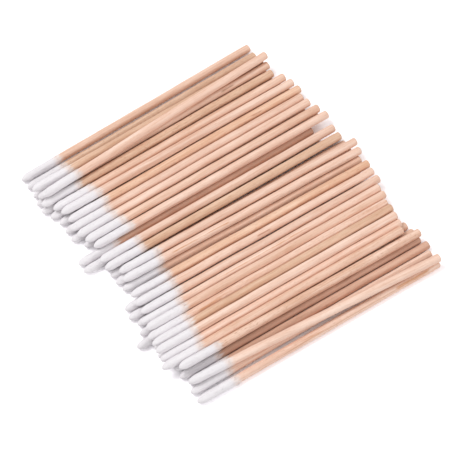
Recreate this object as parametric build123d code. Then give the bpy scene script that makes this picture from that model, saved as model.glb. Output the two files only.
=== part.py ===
"""A pack of pointed cotton swabs on wooden sticks, lying as a fanned row two to three deep.

Every swab is two pieces: a birch stick, sharpened at one end, and a bullet of cotton wound
round the sharpened end. The swabs are laid one after another and each comes to rest on the
surface or on the swabs under it. Units are millimetres, +Z is up, the cotton ends point to
-X and the row runs along Y.
"""
from build123d import *
import math
import os

# the stick
stick_diameter = 2.2
swab_length = 72.0         # from the front of the cotton to the butt of the stick
butt_rounding = 0.35       # tumbled edge at the butt end
point_diameter = 1.0       # blunt front of the sharpened end, inside the cotton

# the cotton
cotton_length = 11.0
cotton_cover = 0.05        # how far the cotton stands proud of the full stick
nose_length = 2.6          # the bullet-shaped front
cotton_ahead = 2.0         # cotton in front of the stick's point

# how the swabs lie
side_gap = 0.04            # between two swabs a lane apart
rest_gap = 0.03            # between a swab and what it rests on
probe_step = 0.75          # spacing of the places where a swab is tried for contact

stick_radius = stick_diameter / 2
cotton_radius = stick_radius + cotton_cover
lane_pitch = 2 * cotton_radius + side_gap

# One line of numbers is one swab: the lane its middle lies on, how far it slides along
# itself towards its butt in millimetres, and how many degrees it turns from the X axis.
floor_layer = [
    (17.45, -2.0, 1.2), (16.20, -2.0, 1.1), (14.90, -2.0, 1.1), (13.75, -2.5, 0.9),
    (12.55, -2.5, 0.6), (11.40, -1.5, 0.4), (10.20, -0.5, 0.4), (8.95, -0.5, 0.4),
    (7.65, -0.5, 0.1), (6.30, 1.5, 0.0), (4.70, -2.5, 0.0), (3.60, -2.5, -0.1),
    (2.50, 2.5, -0.4), (1.40, 2.5, -0.7), (0.30, 2.5, -1.0), (-0.95, 3.0, -1.5),
    (-2.95, 0.5, -1.0), (-4.10, 0.0, -1.1), (-5.20, 1.0, -1.0), (-6.30, 0.0, -1.0),
    (-7.40, -2.5, -1.0), (-8.50, 1.0, -1.0), (-9.60, 0.5, -1.1), (-10.70, 1.5, -1.1),
    (-11.80, 2.0, -1.1), (-12.85, 2.0, -1.1), (-13.90, 3.0, -1.1), (-14.95, 2.0, -1.1),
    (-16.30, 2.0, -1.4),
]
upper_layer = [
    (13.95, -1.5, 0.8), (14.85, -2.0, 1.1), (12.85, -2.0, 0.6), (11.70, 0.0, 0.5),
    (10.70, 1.0, 0.4), (8.50, 0.5, 0.3), (9.60, 1.5, 0.3), (7.45, 1.0, 0.4),
    (6.30, 2.0, 0.0), (5.20, 3.0, -0.2), (3.30, 2.0, -0.2), (2.15, 2.0, -0.4),
    (0.80, 4.5, -1.2), (-0.30, 4.0, -1.3), (-2.25, 3.5, -1.3), (-4.55, 3.0, -1.1),
    (-3.40, 3.0, -1.1), (-5.60, 1.5, -0.9), (-7.55, 0.5, -1.0), (-8.50, 0.5, -0.9),
    (-10.40, 0.0, -1.0), (-11.35, -1.0, -0.9), (-12.45, 2.5, -1.3),
]
top_layer = [
    (14.05, -1.0, 3.2), (-6.60, 1.5, -0.9), (-9.55, 0.0, -1.0), (-15.20, 2.5, -4.8),
]


def stick_solid():
    """The wooden stick along +X, with the front of its cotton at the origin."""
    butt_edge = swab_length - butt_rounding
    with BuildPart() as part:
        with BuildSketch(Plane.XY):
            with BuildLine():
                Polyline(
                    (butt_edge, stick_radius),
                    (cotton_length, stick_radius),
                    (cotton_ahead, point_diameter / 2),
                    (cotton_ahead, 0),
                    (swab_length, 0),
                    (swab_length, stick_radius - butt_rounding),
                )
                RadiusArc(
                    (butt_edge, stick_radius),
                    (swab_length, stick_radius - butt_rounding),
                    butt_rounding,
                )
            make_face()
        revolve(axis=Axis.X)
    return part.part.solid()


def cotton_solid():
    """The cotton bullet, with a blind hole that the sharpened end fills."""
    with BuildPart() as part:
        with BuildSketch(Plane.XY):
            with BuildLine():
                EllipticalCenterArc(
                    (nose_length, 0), nose_length, cotton_radius, start_angle=90, arc_size=90
                )
                Polyline(
                    (nose_length, cotton_radius),
                    (cotton_length, cotton_radius),
                    (cotton_length, stick_radius),
                    (cotton_ahead, point_diameter / 2),
                    (cotton_ahead, 0),
                    (0, 0),
                )
            make_face()
        revolve(axis=Axis.X)
    return part.part.solid()


def radius_at(distance):
    """Outer radius of a swab this far from the front of its cotton."""
    past_edge = distance - (swab_length - butt_rounding)
    if distance < nose_length:
        return cotton_radius * math.sqrt(1 - (1 - distance / nose_length) ** 2)
    if distance <= cotton_length:
        return cotton_radius
    if past_edge > 0:
        return stick_radius - butt_rounding + math.sqrt(butt_rounding**2 - past_edge**2)
    return stick_radius


class LaidSwab:
    """One swab in the heap. Its axis is a straight line, written as y and z against x."""

    def __init__(self, lane, slide, turn):
        self.middle_x = slide
        self.middle_y = lane * lane_pitch
        self.slope_y = math.tan(math.radians(turn))
        self.stretch = math.hypot(1, self.slope_y)
        self.reach = swab_length / 2 / self.stretch
        self.middle_z = 0.0
        self.slope_z = 0.0

    def y_at(self, x):
        return self.middle_y + self.slope_y * (x - self.middle_x)

    def z_at(self, x):
        return self.middle_z + self.slope_z * (x - self.middle_x)

    def covers(self, x):
        return abs(x - self.middle_x) < self.reach

    def own_radius(self, x):
        return radius_at((x - self.middle_x + self.reach) * self.stretch)

    def height_needed(self, x, laid):
        """Lowest the axis can be at x: clear of the surface and of every swab laid before."""
        lowest = self.own_radius(x)
        for other in laid:
            if not other.covers(x):
                continue
            apart = self.own_radius(x) + other.own_radius(x) + rest_gap
            across = self.y_at(x) - other.y_at(x)
            if abs(across) < apart:
                lowest = max(lowest, other.z_at(x) + math.sqrt(apart**2 - across**2))
        return lowest

    def settle(self, laid):
        """Lower the swab until it rests on one support at each side of its middle.

        The heights it needs along its length are wrapped from above by a taut line, and
        the stretch of that line over the swab's middle is how the straight stick lies.
        """
        count = round(2 * self.reach / probe_step)
        taut = []
        for index in range(count):
            x = self.middle_x - self.reach + 2 * self.reach * (index + 0.5) / count
            probe = (x, self.height_needed(x, laid))
            while len(taut) > 1 and rises_less(taut[-2], taut[-1], probe):
                taut.pop()
            taut.append(probe)
        for left, right in zip(taut, taut[1:]):
            if left[0] <= self.middle_x <= right[0]:
                self.slope_z = (right[1] - left[1]) / (right[0] - left[0])
                self.middle_z = left[1] + self.slope_z * (self.middle_x - left[0])

    def placing(self):
        """The location that takes a swab modelled along +X to where it lies."""
        along = Vector(1, self.slope_y, self.slope_z).normalized()
        middle = Vector(self.middle_x, self.middle_y, self.middle_z)
        upright = Vector(0, 0, 1) - along * along.Z
        front = middle - along * (swab_length / 2)
        return Plane(origin=front, x_dir=along, z_dir=upright).location


def rises_less(first, middle, last):
    """True where the middle point lies on or under the line from first to last."""
    run = last[0] - first[0]
    return (middle[1] - first[1]) * run <= (last[1] - first[1]) * (middle[0] - first[0])


def lay_heap():
    """Lay the layers from the surface up, and give each swab with its stick's node name."""
    heap = []
    for layer_name, layer in [("floor", floor_layer), ("upper", upper_layer), ("top", top_layer)]:
        for number, (lane, slide, turn) in enumerate(layer, start=1):
            swab = LaidSwab(lane, slide, turn)
            swab.settle([other for name, other in heap])
            heap.append((f"{layer_name}_stick_{number:02d}", swab))
    return heap


def cotton_node(stick_node, swab):
    """The cotton bullets share four nodes: floor or raised, on the far or the near half."""
    level = "floor" if stick_node.startswith("floor") else "raised"
    half = "far" if swab.middle_y > 0 else "near"
    return f"{level}_cotton_{half}"


stick = stick_solid()
cotton = cotton_solid()
nodes = {}
for stick_node, swab in lay_heap():
    place = swab.placing()
    nodes[stick_node] = [stick.moved(place)]
    nodes.setdefault(cotton_node(stick_node, swab), []).append(cotton.moved(place))

# the origin is on the surface, under the middle of the heap
box = Compound(children=[solid for solids in nodes.values() for solid in solids]).bounding_box()
centring = Pos(-box.center().X, -box.center().Y, 0)

os.makedirs("parts", exist_ok=True)
for name, solids in nodes.items():
    export_step(Compound(children=[solid.moved(centring) for solid in solids]), f"parts/{name}.step")
print(f"{len(nodes)} nodes, box {box.size.X:.1f} x {box.size.Y:.1f} x {box.size.Z:.1f} mm")
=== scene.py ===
import math
import random
import bmesh
import bpy
import numpy as np
from mathutils import Matrix, Vector, noise


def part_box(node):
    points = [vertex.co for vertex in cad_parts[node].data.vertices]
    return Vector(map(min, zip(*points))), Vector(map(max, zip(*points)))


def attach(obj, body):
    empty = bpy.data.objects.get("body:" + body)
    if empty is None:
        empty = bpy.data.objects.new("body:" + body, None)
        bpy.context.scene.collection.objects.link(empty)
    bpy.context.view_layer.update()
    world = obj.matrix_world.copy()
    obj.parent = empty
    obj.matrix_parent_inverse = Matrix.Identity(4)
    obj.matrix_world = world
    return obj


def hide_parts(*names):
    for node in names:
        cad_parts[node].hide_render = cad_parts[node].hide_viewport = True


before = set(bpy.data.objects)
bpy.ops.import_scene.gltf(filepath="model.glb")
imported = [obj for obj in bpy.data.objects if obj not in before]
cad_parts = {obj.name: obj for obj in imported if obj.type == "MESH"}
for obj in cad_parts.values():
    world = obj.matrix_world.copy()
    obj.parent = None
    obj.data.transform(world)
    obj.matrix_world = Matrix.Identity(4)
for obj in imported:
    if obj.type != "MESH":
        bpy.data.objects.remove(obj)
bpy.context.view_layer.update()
bpy.ops.object.select_all(action="DESELECT")
bpy.context.scene.view_settings.view_transform = "Standard"

# ---------------------------------------------------------------------------------------------
# Birch sticks, 2.2 mm round, turned and tumbled, so the butt is slightly rounded. The front is
# sharpened and goes into the cotton. One stick is modelled lying along +X with the front of
# its cotton at the origin, and is copied to wherever a CAD stick lies.
STICK_RADIUS = 0.0011
SWAB_LENGTH = 0.072
COTTON_LENGTH = 0.011
POINT_AT = 0.002
POINT_SHARE = 0.45
BUTT_ROUNDING = 0.00035
MICRON = 0.000001
MM_PER_M = 1000


def open_for_edit(piece):
    """Goes into edit mode on one piece alone, with nothing in it selected."""
    bpy.ops.object.select_all(action="DESELECT")
    bpy.context.view_layer.objects.active = piece
    piece.select_set(True)
    bpy.ops.object.mode_set(mode="EDIT")
    bpy.ops.mesh.select_mode(type="EDGE")
    bpy.ops.mesh.select_all(action="DESELECT")


def pick_edges(piece, wanted):
    """Selects the edges for which wanted(first end, second end) is true, in edit mode."""
    mesh = bmesh.from_edit_mesh(piece.data)
    for edge in mesh.edges:
        edge.select_set(wanted(edge.verts[0].co, edge.verts[1].co))
    bmesh.update_edit_mesh(piece.data)


def pick_faces(piece, wanted):
    """Selects the faces for which wanted(middle, normal) is true, in edit mode."""
    bpy.ops.mesh.select_mode(type="FACE")
    mesh = bmesh.from_edit_mesh(piece.data)
    for face in mesh.faces:
        face.select_set(wanted(face.calc_center_median(), face.normal))
    bmesh.update_edit_mesh(piece.data)


def keep_own_place(piece, name):
    """Stores every point's place in the unlaid piece, in millimetres, for its materials."""
    own = piece.data.attributes.new(name, "FLOAT_VECTOR", "POINT")
    own.data.foreach_set("vector", [c * MM_PER_M for v in piece.data.vertices for c in v.co])


bpy.ops.mesh.primitive_cylinder_add(
    vertices=28, radius=STICK_RADIUS, depth=SWAB_LENGTH - COTTON_LENGTH,
    location=((SWAB_LENGTH + COTTON_LENGTH) / 2, 0, 0), rotation=(0, math.pi / 2, 0))
one_stick = bpy.context.object
one_stick.name = "one_stick"
bpy.ops.object.transform_apply(location=True, rotation=True, scale=True)
open_for_edit(one_stick)
pick_edges(one_stick, lambda a, b: abs(a.x - b.x) > SWAB_LENGTH / 2)
bpy.ops.mesh.subdivide(number_cuts=64)
pick_edges(one_stick, lambda a, b: min(a.x, b.x) > SWAB_LENGTH - 100 * MICRON)
bpy.ops.mesh.bevel(offset=BUTT_ROUNDING, offset_type="OFFSET", segments=4, affect="EDGES")
pick_faces(one_stick, lambda middle, normal: middle.x < SWAB_LENGTH / 2 and normal.x < -0.9)
bpy.ops.mesh.extrude_region_move(
    TRANSFORM_OT_translate={"value": (POINT_AT - COTTON_LENGTH, 0, 0)})
bpy.ops.transform.resize(value=(1, POINT_SHARE, POINT_SHARE))
pick_faces(one_stick, lambda middle, normal: abs(normal.x) > 0.99)
bpy.ops.mesh.inset(thickness=300 * MICRON)
bpy.ops.mesh.poke()
bpy.ops.object.mode_set(mode="OBJECT")
bpy.ops.object.shade_smooth_by_angle(angle=math.radians(40))
keep_own_place(one_stick, "own_place")


def how_it_lies(node):
    """The matrix that takes a swab modelled along +X to where the CAD stick of it lies."""
    points = np.array([v.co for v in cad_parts[node].data.vertices])
    points = np.unique(points.round(7), axis=0)
    middle = points.mean(axis=0)
    along = np.linalg.svd(points - middle, full_matrices=False)[2][0]
    along *= np.sign(along[0])
    front = Vector(middle + along * (((points - middle) @ along).min() - POINT_AT))
    along = Vector(along)
    up = (Vector((0, 0, 1)) - along * along.z).normalized()
    side = up.cross(along)
    turn = Matrix((along, side, up)).transposed().to_4x4()
    return Matrix.Translation(front) @ turn


def lay(pattern, name, place):
    """A copy of the pattern piece with its own mesh, laid with its place in the mesh."""
    piece = pattern.copy()
    piece.data = pattern.data.copy()
    piece.name = name
    bpy.context.scene.collection.objects.link(piece)
    piece.data.transform(place)
    return piece


def add_node(tree, kind, settings=None, **inputs):
    """Adds a shader node. An input is named, or i0, i1 and so on by its number, and is given
    a value or the output socket of another node."""
    made = tree.nodes.new(kind)
    for key, value in (settings or {}).items():
        setattr(made, key, value)
    for key, value in inputs.items():
        by_number = key[0] == "i" and key[1:].isdigit()
        socket = made.inputs[int(key[1:])] if by_number else made.inputs[key]
        if isinstance(value, bpy.types.NodeSocket):
            tree.links.new(value, socket)
        else:
            socket.default_value = value
    return made


def sums(tree, operation, first, second=0.0, third=0.0, clamp=False):
    """One step of arithmetic between sockets or numbers."""
    made = add_node(tree, "ShaderNodeMath", {"operation": operation, "use_clamp": clamp},
                    i0=first, i1=second, i2=third)
    return made.outputs[0]


def ramp(tree, value, low, high, to_low=0.0, to_high=1.0):
    """Goes smoothly from to_low to to_high while the value goes from low to high."""
    made = add_node(tree, "ShaderNodeMapRange", {"interpolation_type": "SMOOTHSTEP"},
                    i0=value, i1=low, i2=high, i3=to_low, i4=to_high)
    return made.outputs[0]


def blend_colour(tree, share, first, second, how="MIX"):
    """Mixes two colours, with share as the amount of the second."""
    made = add_node(tree, "ShaderNodeMix", {"data_type": "RGBA", "blend_type": how},
                    i0=share, i6=first, i7=second)
    return made.outputs[2]


def stretched_noise(tree, place, scale, detail=2.0, roughness=0.5, distortion=0.0):
    """Noise with a different scale along each axis of the place."""
    spread = add_node(tree, "ShaderNodeMapping", i0=place, i3=scale)
    made = add_node(tree, "ShaderNodeTexNoise", i0=spread.outputs[0], Scale=1.0, Detail=detail,
                    Roughness=roughness, Distortion=distortion)
    return made.outputs["Fac"]


def start_group(name, takes, gives):
    """An empty shader group with named inputs and outputs."""
    group = bpy.data.node_groups.new(name, "ShaderNodeTree")
    kinds = {"colour": "NodeSocketColor", "value": "NodeSocketFloat", "vector": "NodeSocketVector"}
    for label, kind in takes:
        group.interface.new_socket(name=label, in_out="INPUT", socket_type=kinds[kind])
    for label, kind in gives:
        group.interface.new_socket(name=label, in_out="OUTPUT", socket_type=kinds[kind])
    return group, group.nodes.new("NodeGroupInput"), group.nodes.new("NodeGroupOutput")


# Birch seen close: growth bands, hair-fine fibres, short brown pores, thin orange lines, one
# mark on some sticks, a darker sawn butt, and cotton fibres that cling just behind the cotton.
PORE_BROWN = (0.50, 0.25, 0.145, 1)
LINE_ORANGE = (0.60, 0.29, 0.15, 1)
SAWN_BROWN = (0.55, 0.32, 0.19, 1)
SAWN_PORE = (0.34, 0.17, 0.09, 1)
CLINGING_COTTON = (0.86, 0.83, 0.82, 1)
birch, given, result = start_group(
    "birch grain",
    [("Place", "vector"), ("Light", "colour"), ("Dark", "colour"), ("Seed", "value"),
     ("Bands", "value"), ("Flecks", "value"), ("Lines", "value"), ("Mark colour", "colour"),
     ("Mark start", "value"), ("Mark end", "value"), ("Mark angle", "value"),
     ("Mark width", "value"), ("Mark", "value")],
    [("Colour", "colour"), ("Roughness", "value"), ("Height", "value")])
t = birch
place = given.outputs["Place"]
away = add_node(t, "ShaderNodeCombineXYZ", X=sums(t, "MULTIPLY", given.outputs["Seed"], 13.7),
                Y=sums(t, "MULTIPLY", given.outputs["Seed"], 7.3),
                Z=sums(t, "MULTIPLY", given.outputs["Seed"], 3.1))
moved = add_node(t, "ShaderNodeVectorMath", {"operation": "ADD"}, i0=place, i1=away.outputs[0])
moved = moved.outputs[0]

bands = stretched_noise(t, moved, (0.03, 0.95, 0.95), detail=3.0, roughness=0.55, distortion=0.4)
fibres = stretched_noise(t, moved, (0.22, 7.5, 7.5), detail=4.0, roughness=0.65)
patches = stretched_noise(t, moved, (0.11, 0.5, 0.5), detail=2.0)
band_strength = sums(t, "MULTIPLY", given.outputs["Bands"], 2.2)
tone = sums(t, "MULTIPLY_ADD", sums(t, "SUBTRACT", bands, 0.5), band_strength, 0.60)
tone = sums(t, "MULTIPLY_ADD", sums(t, "SUBTRACT", fibres, 0.5), 1.9, tone)
tone = sums(t, "MULTIPLY_ADD", sums(t, "SUBTRACT", patches, 0.5), 0.9, tone, clamp=True)
wood = blend_colour(t, tone, given.outputs["Dark"], given.outputs["Light"])

pores = ramp(t, stretched_noise(t, moved, (0.95, 5.5, 5.5), detail=2.0), 0.60, 0.70)
pores = sums(t, "MULTIPLY", pores, given.outputs["Flecks"], clamp=True)
wood = blend_colour(t, pores, wood, PORE_BROWN)

lines = stretched_noise(t, moved, (0.016, 2.1, 2.1), detail=1.0, distortion=0.3)
lines = ramp(t, sums(t, "ABSOLUTE", sums(t, "SUBTRACT", lines, 0.5)), 0.0, 0.022, 1.0, 0.0)
lines = sums(t, "MULTIPLY", lines, given.outputs["Lines"], clamp=True)
wood = blend_colour(t, lines, wood, LINE_ORANGE)

axes = add_node(t, "ShaderNodeSeparateXYZ", i0=place)
along, side, up = axes.outputs
around = sums(t, "ARCTAN2", up, side)
off_line = sums(t, "ABSOLUTE", sums(t, "SUBTRACT", around, given.outputs["Mark angle"]))
ragged = sums(t, "MULTIPLY_ADD", sums(t, "SUBTRACT", fibres, 0.5), 0.9, off_line)
mark_side = ramp(t, sums(t, "DIVIDE", ragged, given.outputs["Mark width"]), 0.35, 1.0, 1.0, 0.0)
mark_front = ramp(t, sums(t, "SUBTRACT", along, given.outputs["Mark start"]), 0.0, 1.3)
mark_back = ramp(t, sums(t, "SUBTRACT", given.outputs["Mark end"], along), 0.0, 1.3)
mark = sums(t, "MULTIPLY", sums(t, "MULTIPLY", mark_side, mark_front), mark_back)
mark = sums(t, "MULTIPLY", mark, given.outputs["Mark"])
wood = blend_colour(t, mark, wood, given.outputs["Mark colour"])

sawn = ramp(t, along, 71.75, 71.97)
sawn_pores = ramp(t, stretched_noise(t, moved, (9, 9, 9), detail=2.0), 0.45, 0.62)
wood = blend_colour(t, sums(t, "MULTIPLY", sawn, 0.55), wood, SAWN_BROWN)
sawn_pores = sums(t, "MULTIPLY", sawn, sawn_pores)
wood = blend_colour(t, sums(t, "MULTIPLY", sawn_pores, 0.5), wood, SAWN_PORE)

wisps = stretched_noise(t, moved, (0.30, 5.0, 5.0), detail=3.0, roughness=0.6)
reach = sums(t, "MULTIPLY_ADD", wisps, 5.0, 9.7)
cling = ramp(t, sums(t, "SUBTRACT", reach, along), -0.4, 1.3)
wood = blend_colour(t, sums(t, "MULTIPLY", cling, 0.85), wood, CLINGING_COTTON)

t.links.new(wood, result.inputs["Colour"])
t.links.new(sums(t, "MULTIPLY_ADD", fibres, -0.18, 0.70), result.inputs["Roughness"])
height = sums(t, "MULTIPLY_ADD", pores, -0.6, fibres)
t.links.new(sums(t, "MULTIPLY_ADD", bands, 0.3, height), result.inputs["Height"])

# How each stick differs: its wood, how strong its bands, pores and thin lines are, and the mark
# that some carry, as (start mm, end mm, degrees round, width, strength, colour). A stick that
# isn't named here is plain peach wood. The brown wood on three floor sticks is painted shade.
WOODS = {
    "pale": ((0.95, 0.71, 0.59), (0.76, 0.46, 0.33)),
    "peach": ((0.90, 0.64, 0.51), (0.68, 0.39, 0.26)),
    "pink": ((0.90, 0.66, 0.54), (0.70, 0.41, 0.29)),
    "tan": ((0.82, 0.57, 0.42), (0.60, 0.34, 0.21)),
    "orange": ((0.91, 0.64, 0.48), (0.72, 0.40, 0.25)),
    # painted shade: a darker copy of the peach wood, for floor sticks that lie low between raised
    # ones
    "painted_shade_brown": ((0.74, 0.47, 0.35), (0.52, 0.28, 0.19)),
}
RED_BROWN = (0.50, 0.22, 0.13, 1)
DARK_BROWN = (0.46, 0.24, 0.15, 1)
ORANGE_LINE = (0.62, 0.27, 0.11, 1)
STICKS = {
    "floor_stick_01": ("peach", 0.7, 0.15, 0.2, None),
    "floor_stick_02": ("tan", 0.8, 0.9, 0.1, None),
    # floor sticks 11, 26 and 27 get the brown wood, painted shade for their low place in the heap
    "floor_stick_11": ("painted_shade_brown", 0.6, 0.5, 0.1, None),
    "floor_stick_12": ("tan", 0.6, 0.4, 0.2, None),
    "floor_stick_16": ("peach", 0.6, 0.3, 0.3, None),
    "floor_stick_26": ("painted_shade_brown", 0.6, 0.4, 0.2, None),
    "floor_stick_27": ("painted_shade_brown", 0.7, 0.5, 0.2, None),
    "floor_stick_28": ("pale", 0.6, 0.3, 0.4, None),
    "floor_stick_29": ("pale", 0.8, 0.5, 0.7, (58, 69, 125, 0.5, 0.6, ORANGE_LINE)),
    "upper_stick_01": ("peach", 0.8, 0.3, 0.4, (56, 61, 120, 0.28, 0.85, DARK_BROWN)),
    "upper_stick_02": ("tan", 0.7, 0.4, 0.2, None),
    "upper_stick_03": ("tan", 0.8, 0.9, 0.2, None),
    "upper_stick_04": ("peach", 0.7, 0.3, 0.2, None),
    "upper_stick_05": ("pink", 1.2, 0.3, 0.2, None),
    "upper_stick_06": ("pink", 0.7, 0.3, 0.3, None),
    "upper_stick_07": ("orange", 0.8, 0.4, 0.6, (55.5, 60, 118, 0.25, 0.8, RED_BROWN)),
    "upper_stick_08": ("pale", 0.5, 0.2, 0.3, None),
    "upper_stick_09": ("peach", 0.8, 0.3, 0.4, None),
    "upper_stick_10": ("pale", 0.6, 0.3, 0.3, None),
    "upper_stick_11": ("pink", 0.7, 0.3, 0.3, None),
    "upper_stick_12": ("tan", 0.7, 0.5, 0.3, None),
    "upper_stick_13": ("pink", 0.6, 0.2, 0.3, None),
    "upper_stick_14": ("pale", 0.6, 0.3, 0.4, (14, 32, 112, 0.14, 0.7, ORANGE_LINE)),
    "upper_stick_15": ("orange", 0.8, 0.5, 0.5, None),
    "upper_stick_16": ("pink", 0.6, 0.3, 0.3, None),
    "upper_stick_17": ("pale", 0.6, 0.3, 0.3, (35.5, 40.5, 118, 0.22, 0.8, RED_BROWN)),
    "upper_stick_18": ("pale", 0.6, 0.3, 0.7, (22, 50, 105, 0.12, 0.6, ORANGE_LINE)),
    "upper_stick_19": ("pale", 1.1, 0.5, 0.4, (14, 22, 130, 0.35, 0.6, ORANGE_LINE)),
    "upper_stick_20": ("tan", 0.7, 0.4, 0.3, None),
    "upper_stick_21": ("pale", 0.6, 0.3, 0.3, None),
    "upper_stick_22": ("peach", 0.6, 0.4, 0.4, None),
    "upper_stick_23": ("peach", 1.1, 0.9, 0.4, None),
    "top_stick_01": ("pale", 0.8, 0.3, 0.2, None),
    "top_stick_02": ("peach", 0.6, 0.3, 0.3, None),
    "top_stick_03": ("pale", 1.1, 0.3, 0.3, None),
    "top_stick_04": ("pale", 0.7, 0.3, 0.3, None),
}
PLAIN_PEACH = ("peach", 0.7, 0.35, 0.3, None)
NO_MARK = (0, 1, 0, 1, 0, RED_BROWN)

uneven = bpy.data.textures.new("turning_marks", "CLOUDS")
uneven.noise_scale = 0.005
sway = bpy.data.textures.new("slight_bow", "CLOUDS")
sway.noise_scale = 0.022
swabs = []
for number, node in enumerate(sorted(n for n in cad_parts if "stick" in n)):
    lies = how_it_lies(node)
    stick = lay(one_stick, node.replace("stick", "birch"), lies)
    for texture, direction, strength in ((uneven, "NORMAL", 0.00010), (sway, "Y", 0.0003)):
        push = stick.modifiers.new("push", "DISPLACE")
        push.texture = texture
        push.texture_coords = "GLOBAL"
        push.direction = direction
        push.strength = strength
    bpy.context.view_layer.objects.active = stick
    for push in list(stick.modifiers):
        bpy.ops.object.modifier_apply(modifier=push.name)

    kind, band, fleck, line, mark = STICKS.get(node, PLAIN_PEACH)
    start, end, degrees, width, strength, colour = mark or NO_MARK
    material = bpy.data.materials.new(f"birch_{node}")
    material.use_nodes = True
    tree = material.node_tree
    shader = tree.nodes["Principled BSDF"]
    own = add_node(tree, "ShaderNodeAttribute", {"attribute_name": "own_place"})
    grain = tree.nodes.new("ShaderNodeGroup")
    grain.node_tree = birch
    tree.links.new(own.outputs["Vector"], grain.inputs["Place"])
    light, dark = WOODS[kind]
    for label, value in (
            ("Light", (*light, 1)), ("Dark", (*dark, 1)), ("Seed", number + 1.0), ("Bands", band),
            ("Flecks", fleck), ("Lines", line), ("Mark colour", colour), ("Mark start", start),
            ("Mark end", end), ("Mark angle", math.radians(degrees)), ("Mark width", width),
            ("Mark", strength)):
        grain.inputs[label].default_value = value
    bump = add_node(tree, "ShaderNodeBump", Height=grain.outputs["Height"], Strength=0.6,
                    Distance=60 * MICRON)
    tree.links.new(grain.outputs["Colour"], shader.inputs["Base Color"])
    tree.links.new(grain.outputs["Roughness"], shader.inputs["Roughness"])
    tree.links.new(bump.outputs[0], shader.inputs["Normal"])
    shader.inputs["Specular IOR Level"].default_value = 0.3
    stick.data.materials.clear()
    stick.data.materials.append(material)
    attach(stick, "root")
    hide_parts(node)
    swabs.append((node, lies))
bpy.data.objects.remove(one_stick)

# ---------------------------------------------------------------------------------------------
# Cotton bullets. Cotton fibre is wound round the sharpened end, as thick as the stick, with
# soft folds, a ragged edge on the wood and loose fibres on its skin. Four heads are modelled,
# and each swab gets one of them, rolled round.
COTTON_RADIUS = 0.00115
NOSE_LENGTH = 0.0026
EDGE_RADIUS = STICK_RADIUS - 20 * MICRON
EDGE_AT = COTTON_LENGTH + 100 * MICRON
WOOD_FROM = 0.0102
HEAD_MIDDLE = 0.006
FIBRE_LENGTH = 0.001
# Loose fibres, as (how many, from, to, longest, steepest lift in radians).
SKIN_FIBRES = (60, 0.0006, 0.0105, 0.0008, 0.35)
EDGE_FIBRES = (46, 0.0103, 0.0112, 0.0015, 0.03)


def wound_head(seed):
    """One cotton bullet, spun ring by ring from its ragged rear edge to its nose."""
    chance = random.Random(seed)
    bpy.ops.mesh.primitive_circle_add(
        vertices=44, radius=EDGE_RADIUS, rotation=(0, math.pi / 2, 0), location=(EDGE_AT, 0, 0))
    head = bpy.context.object
    bpy.ops.object.transform_apply(location=True, rotation=True, scale=True)
    open_for_edit(head)
    bpy.ops.mesh.select_all(action="SELECT")
    rings = [(COTTON_LENGTH - (300 + 400 * step) * MICRON, COTTON_RADIUS) for step in range(20)]
    rings += [(NOSE_LENGTH * (1 - math.sin(turn)), COTTON_RADIUS * math.cos(turn))
              for turn in (math.radians(9 * step) for step in range(10))]
    at, size = EDGE_AT, EDGE_RADIUS
    for x, radius in rings:
        bpy.ops.mesh.extrude_region_move(TRANSFORM_OT_translate={"value": (x - at, 0, 0)})
        bpy.ops.transform.resize(value=(1, radius / size, radius / size))
        at, size = x, radius
    bpy.ops.mesh.extrude_region_move(TRANSFORM_OT_translate={"value": (-at, 0, 0)})
    bpy.ops.mesh.merge(type="CENTER")
    bpy.ops.mesh.select_all(action="SELECT")
    bpy.ops.mesh.normals_make_consistent(inside=False)
    bpy.ops.object.mode_set(mode="OBJECT")
    keep_own_place(head, "own_place")
    plump = chance.uniform(-20, 30) * MICRON
    length = COTTON_LENGTH * MM_PER_M
    for vertex in head.data.vertices:
        x, y, z = vertex.co * MM_PER_M
        out = Vector((0, y, z)).normalized()
        fold = noise.noise(Vector((x * 0.16 + seed * 9, out.y * 2.0 + x * 0.03, out.z * 2.0)))
        lump = noise.noise(Vector((x * 0.7 + seed * 5, out.y * 1.3, out.z * 1.3 + 4)))
        tuft = noise.noise(Vector((x * 2.2, out.y * 5.5, out.z * 5.5 + seed)))
        if x < length:
            body = min(1.0, x / 1.6) * min(1.0, (length - x) / 1.5)
            swell = (fold * 70 + lump * 60) * MICRON + plump
            vertex.co += out * (swell * body + tuft * 18 * MICRON)
        else:
            jag = noise.noise(Vector((seed * 3.0, out.y * 4.5, out.z * 4.5)))
            vertex.co.x += 900 * MICRON * (jag + 0.25) + chance.uniform(-150, 200) * MICRON
    return head


def add_fibres(head, fibre, chance):
    """Lays copies of one fibre over the head's skin, and along its edge onto the wood."""
    made = bmesh.new()
    for count, low, high, longest, lift in (SKIN_FIBRES, EDGE_FIBRES):
        for _ in range(count):
            x = chance.uniform(low, high)
            turn = chance.uniform(0, 2 * math.pi)
            front = min(1.0, x / NOSE_LENGTH)
            radius = COTTON_RADIUS * math.sqrt(1 - (1 - front) ** 2)
            if x > WOOD_FROM:
                radius = STICK_RADIUS + 20 * MICRON
            size = chance.uniform(0.4, 1.0) * longest * MM_PER_M
            heading = chance.gauss(0, 0.45) if x > WOOD_FROM else chance.uniform(0, 2 * math.pi)
            copy = fibre.data.copy()
            copy.transform(Matrix.Diagonal((size, chance.uniform(0.7, 1.4), 1, 1)))
            copy.transform(Matrix.Rotation(-chance.uniform(0, lift), 4, "Y"))
            copy.transform(Matrix.Rotation(heading, 4, "Z"))
            copy.transform(Matrix.Translation((x, 0, radius)))
            copy.transform(Matrix.Rotation(turn, 4, "X"))
            made.from_mesh(copy)
            bpy.data.meshes.remove(copy)
    tufts = bpy.data.meshes.new("tufts")
    made.to_mesh(tufts)
    made.free()
    loose = bpy.data.objects.new("tufts", tufts)
    bpy.context.scene.collection.objects.link(loose)
    keep_own_place(loose, "own_place")
    bpy.ops.object.select_all(action="DESELECT")
    loose.select_set(True)
    head.select_set(True)
    bpy.context.view_layer.objects.active = head
    bpy.ops.object.join()


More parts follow.
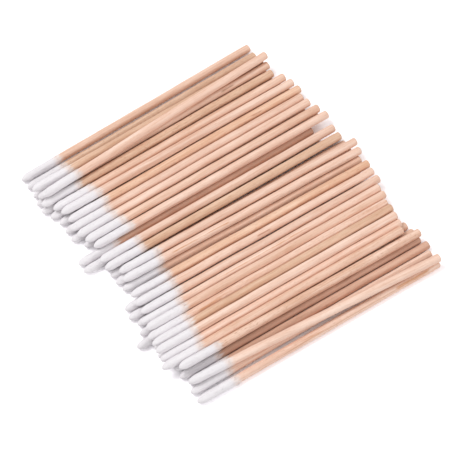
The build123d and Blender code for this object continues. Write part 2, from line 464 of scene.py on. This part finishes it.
bpy.ops.mesh.primitive_cone_add(
    vertices=3, radius1=22 * MICRON, radius2=4 * MICRON, depth=FIBRE_LENGTH,
    location=(FIBRE_LENGTH / 2, 0, 0), rotation=(0, math.pi / 2, 0))
one_fibre = bpy.context.object
bpy.ops.object.transform_apply(location=True, rotation=True, scale=True)
open_for_edit(one_fibre)
pick_edges(one_fibre, lambda a, b: abs(a.x - b.x) > FIBRE_LENGTH / 2)
bpy.ops.mesh.subdivide(number_cuts=3)
bpy.ops.object.mode_set(mode="OBJECT")
for vertex in one_fibre.data.vertices:
    vertex.co.y += 120 * MICRON * math.sin(vertex.co.x * 3000)
    vertex.co.z += 80 * MICRON * math.sin(vertex.co.x * 2600)

heads = []
for seed in (3, 8, 14, 21):
    one_head = wound_head(seed)
    add_fibres(one_head, one_fibre, random.Random(seed + 100))
    bpy.ops.object.shade_smooth()
    heads.append(one_head)

# Cotton seen close: long soft folds, hair-fine fibres, small tufts, and a thin rear edge
# through which the wood shows a little. The grey-lilac in the hollows of folds and tufts is
# painted shade.
COTTON_SHADE = (0.78, 0.74, 0.765, 1)
COTTON_WHITE = (0.89, 0.86, 0.88, 1)
WOOD_THROUGH = (0.87, 0.66, 0.55, 1)
cotton, given, result = start_group(
    "wound cotton", [("Place", "vector"), ("Which", "value")],
    [("Colour", "colour"), ("Roughness", "value"), ("Height", "value")])
t = cotton
place = given.outputs["Place"]
away = add_node(t, "ShaderNodeCombineXYZ", X=sums(t, "MULTIPLY", given.outputs["Which"], 11.0),
                Y=sums(t, "MULTIPLY", given.outputs["Which"], 17.0),
                Z=sums(t, "MULTIPLY", given.outputs["Which"], 5.0))
moved = add_node(t, "ShaderNodeVectorMath", {"operation": "ADD"}, i0=place, i1=away.outputs[0])
moved = moved.outputs[0]

folds = stretched_noise(t, moved, (0.28, 1.9, 1.9), detail=3.0, roughness=0.5, distortion=0.5)
hairs = stretched_noise(t, moved, (1.3, 9.0, 9.0), detail=4.0, roughness=0.7, distortion=0.8)
tufts = stretched_noise(t, moved, (2.2, 3.4, 3.4), detail=3.0, roughness=0.6)
# painted shade: the cotton goes from white to COTTON_SHADE where the folds, fibres and tufts sink
tone = sums(t, "MULTIPLY_ADD", sums(t, "SUBTRACT", folds, 0.5), 1.1, 0.66)
tone = sums(t, "MULTIPLY_ADD", sums(t, "SUBTRACT", hairs, 0.5), 0.7, tone)
tone = sums(t, "MULTIPLY_ADD", sums(t, "SUBTRACT", tufts, 0.5), 0.7, tone, clamp=True)
white = blend_colour(t, tone, COTTON_SHADE, COTTON_WHITE)

axes = add_node(t, "ShaderNodeSeparateXYZ", i0=place)
thin = ramp(t, sums(t, "MULTIPLY_ADD", hairs, 2.6, axes.outputs[0]), 10.6, 12.8)
white = blend_colour(t, sums(t, "MULTIPLY", thin, 0.65), white, WOOD_THROUGH)

t.links.new(white, result.inputs["Colour"])
t.links.new(sums(t, "MULTIPLY_ADD", tufts, 0.1, 0.85), result.inputs["Roughness"])
height = sums(t, "MULTIPLY_ADD", folds, 1.5, sums(t, "MULTIPLY", tufts, 0.8))
t.links.new(sums(t, "ADD", hairs, height), result.inputs["Height"])

cotton_white = bpy.data.materials.new("cotton_wool")
cotton_white.use_nodes = True
tree = cotton_white.node_tree
shader = tree.nodes["Principled BSDF"]
own = add_node(tree, "ShaderNodeAttribute", {"attribute_name": "own_place"})
which = add_node(tree, "ShaderNodeAttribute", {"attribute_name": "which_head"})
wound = tree.nodes.new("ShaderNodeGroup")
wound.node_tree = cotton
tree.links.new(own.outputs["Vector"], wound.inputs["Place"])
tree.links.new(which.outputs["Fac"], wound.inputs["Which"])
bump = add_node(tree, "ShaderNodeBump", Height=wound.outputs["Height"], Strength=0.7,
                Distance=70 * MICRON)
tree.links.new(wound.outputs["Colour"], shader.inputs["Base Color"])
tree.links.new(wound.outputs["Roughness"], shader.inputs["Roughness"])
tree.links.new(bump.outputs[0], shader.inputs["Normal"])
shader.inputs["Specular IOR Level"].default_value = 0.15
shader.inputs["Sheen Weight"].default_value = 0.15
shader.inputs["Sheen Roughness"].default_value = 0.6

rolls = random.Random(52)
groups = {node: [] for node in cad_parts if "cotton" in node}
for number, (node, lies) in enumerate(swabs):
    level = "floor" if node.startswith("floor") else "raised"
    rolled = lies @ Matrix.Rotation(rolls.uniform(0, 2 * math.pi), 4, "X")
    head = lay(heads[rolls.randrange(4)], f"head_{number}", rolled)
    which = head.data.attributes.new("which_head", "FLOAT", "POINT")
    which.data.foreach_set("value", [number + 0.5] * len(head.data.vertices))
    across = (lies @ Vector((HEAD_MIDDLE, 0, 0))).y
    nearest = min((name for name in groups if name.startswith(level)),
                  key=lambda name: abs(sum(corner[1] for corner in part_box(name)) / 2 - across))
    groups[nearest].append(head)
for node, members in groups.items():
    bpy.ops.object.select_all(action="DESELECT")
    for head in members:
        head.select_set(True)
    bpy.context.view_layer.objects.active = members[0]
    bpy.ops.object.join()
    whole = members[0]
    whole.name = node.replace("cotton", "wound_heads")
    for vertex in whole.data.vertices:
        vertex.co.z = max(vertex.co.z, 20 * MICRON)
    whole.data.materials.clear()
    whole.data.materials.append(cotton_white)
    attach(whole, "root")
    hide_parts(node)
for spare in heads + [one_fibre]:
    bpy.data.objects.remove(spare)

# ---------------------------------------------------------------------------------------------
# The studio. A white table under a soft white surround, a soft lamp overhead at the far left
# and a weaker one at the front right. The table shows white except where the heap shades it.
TABLE_WHITE = (0.84, 0.83, 0.84, 1)
TABLE_AS_SEEN = (1.36, 1.33, 1.37, 1)
bpy.ops.mesh.primitive_plane_add(size=3.0, location=(0, 0, 0))
table = bpy.context.object
table.name = "white_table"
paint = bpy.data.materials.new("white_table")
paint.use_nodes = True
tree = paint.node_tree
tree.nodes.remove(tree.nodes["Principled BSDF"])
ray = tree.nodes.new("ShaderNodeLightPath")
seen = sums(tree, "MAXIMUM", ray.outputs["Is Camera Ray"], ray.outputs["Is Glossy Ray"])
white = blend_colour(tree, seen, TABLE_WHITE, TABLE_AS_SEEN)
matt = add_node(tree, "ShaderNodeBsdfDiffuse", Color=white)
tree.links.new(matt.outputs[0], tree.nodes["Material Output"].inputs["Surface"])
table.data.materials.append(paint)

world = bpy.data.worlds.new("white_surround")
bpy.context.scene.world = world
world.use_nodes = True
tree = world.node_tree
ray = tree.nodes.new("ShaderNodeLightPath")
seen = sums(tree, "MAXIMUM", ray.outputs["Is Camera Ray"], ray.outputs["Is Glossy Ray"])
tree.links.new(ramp(tree, seen, 0.0, 1.0, 0.63, 1.0), tree.nodes["Background"].inputs["Strength"])
tree.nodes["Background"].inputs["Color"].default_value = (1, 1, 1, 1)


def soft_lamp(name, where, size, power):
    """A square soft lamp that faces the middle of the frame."""
    turn = Vector(where).to_track_quat("Z", "Y").to_euler()
    bpy.ops.object.light_add(type="AREA", location=where, rotation=turn)
    lamp = bpy.context.object
    lamp.name = name
    lamp.data.size = size
    lamp.data.energy = power


soft_lamp("overhead", (-0.25, 0.35, 0.70), 0.35, 3.1)
soft_lamp("front_fill", (0.30, -0.55, 0.40), 0.25, 1.0)

# The camera looks down on the row from the front left, with the cotton ends at the left. It is
# aimed at the table just beside the middle of the heap.
CAMERA_TURN = math.radians(-33.5)
CAMERA_HEIGHT = math.radians(62)
CAMERA_DISTANCE = 0.52
AIM = Vector((-0.00186, -0.00071, 0.0))
away = Vector((0, -math.cos(CAMERA_HEIGHT), math.sin(CAMERA_HEIGHT)))
away = Matrix.Rotation(CAMERA_TURN, 3, "Z") @ away
bpy.ops.object.camera_add(
    location=AIM + away * CAMERA_DISTANCE, rotation=away.to_track_quat("Z", "Y").to_euler())
camera = bpy.context.object
camera.data.lens = 161.7
camera.data.sensor_width = 36
bpy.context.scene.camera = camera
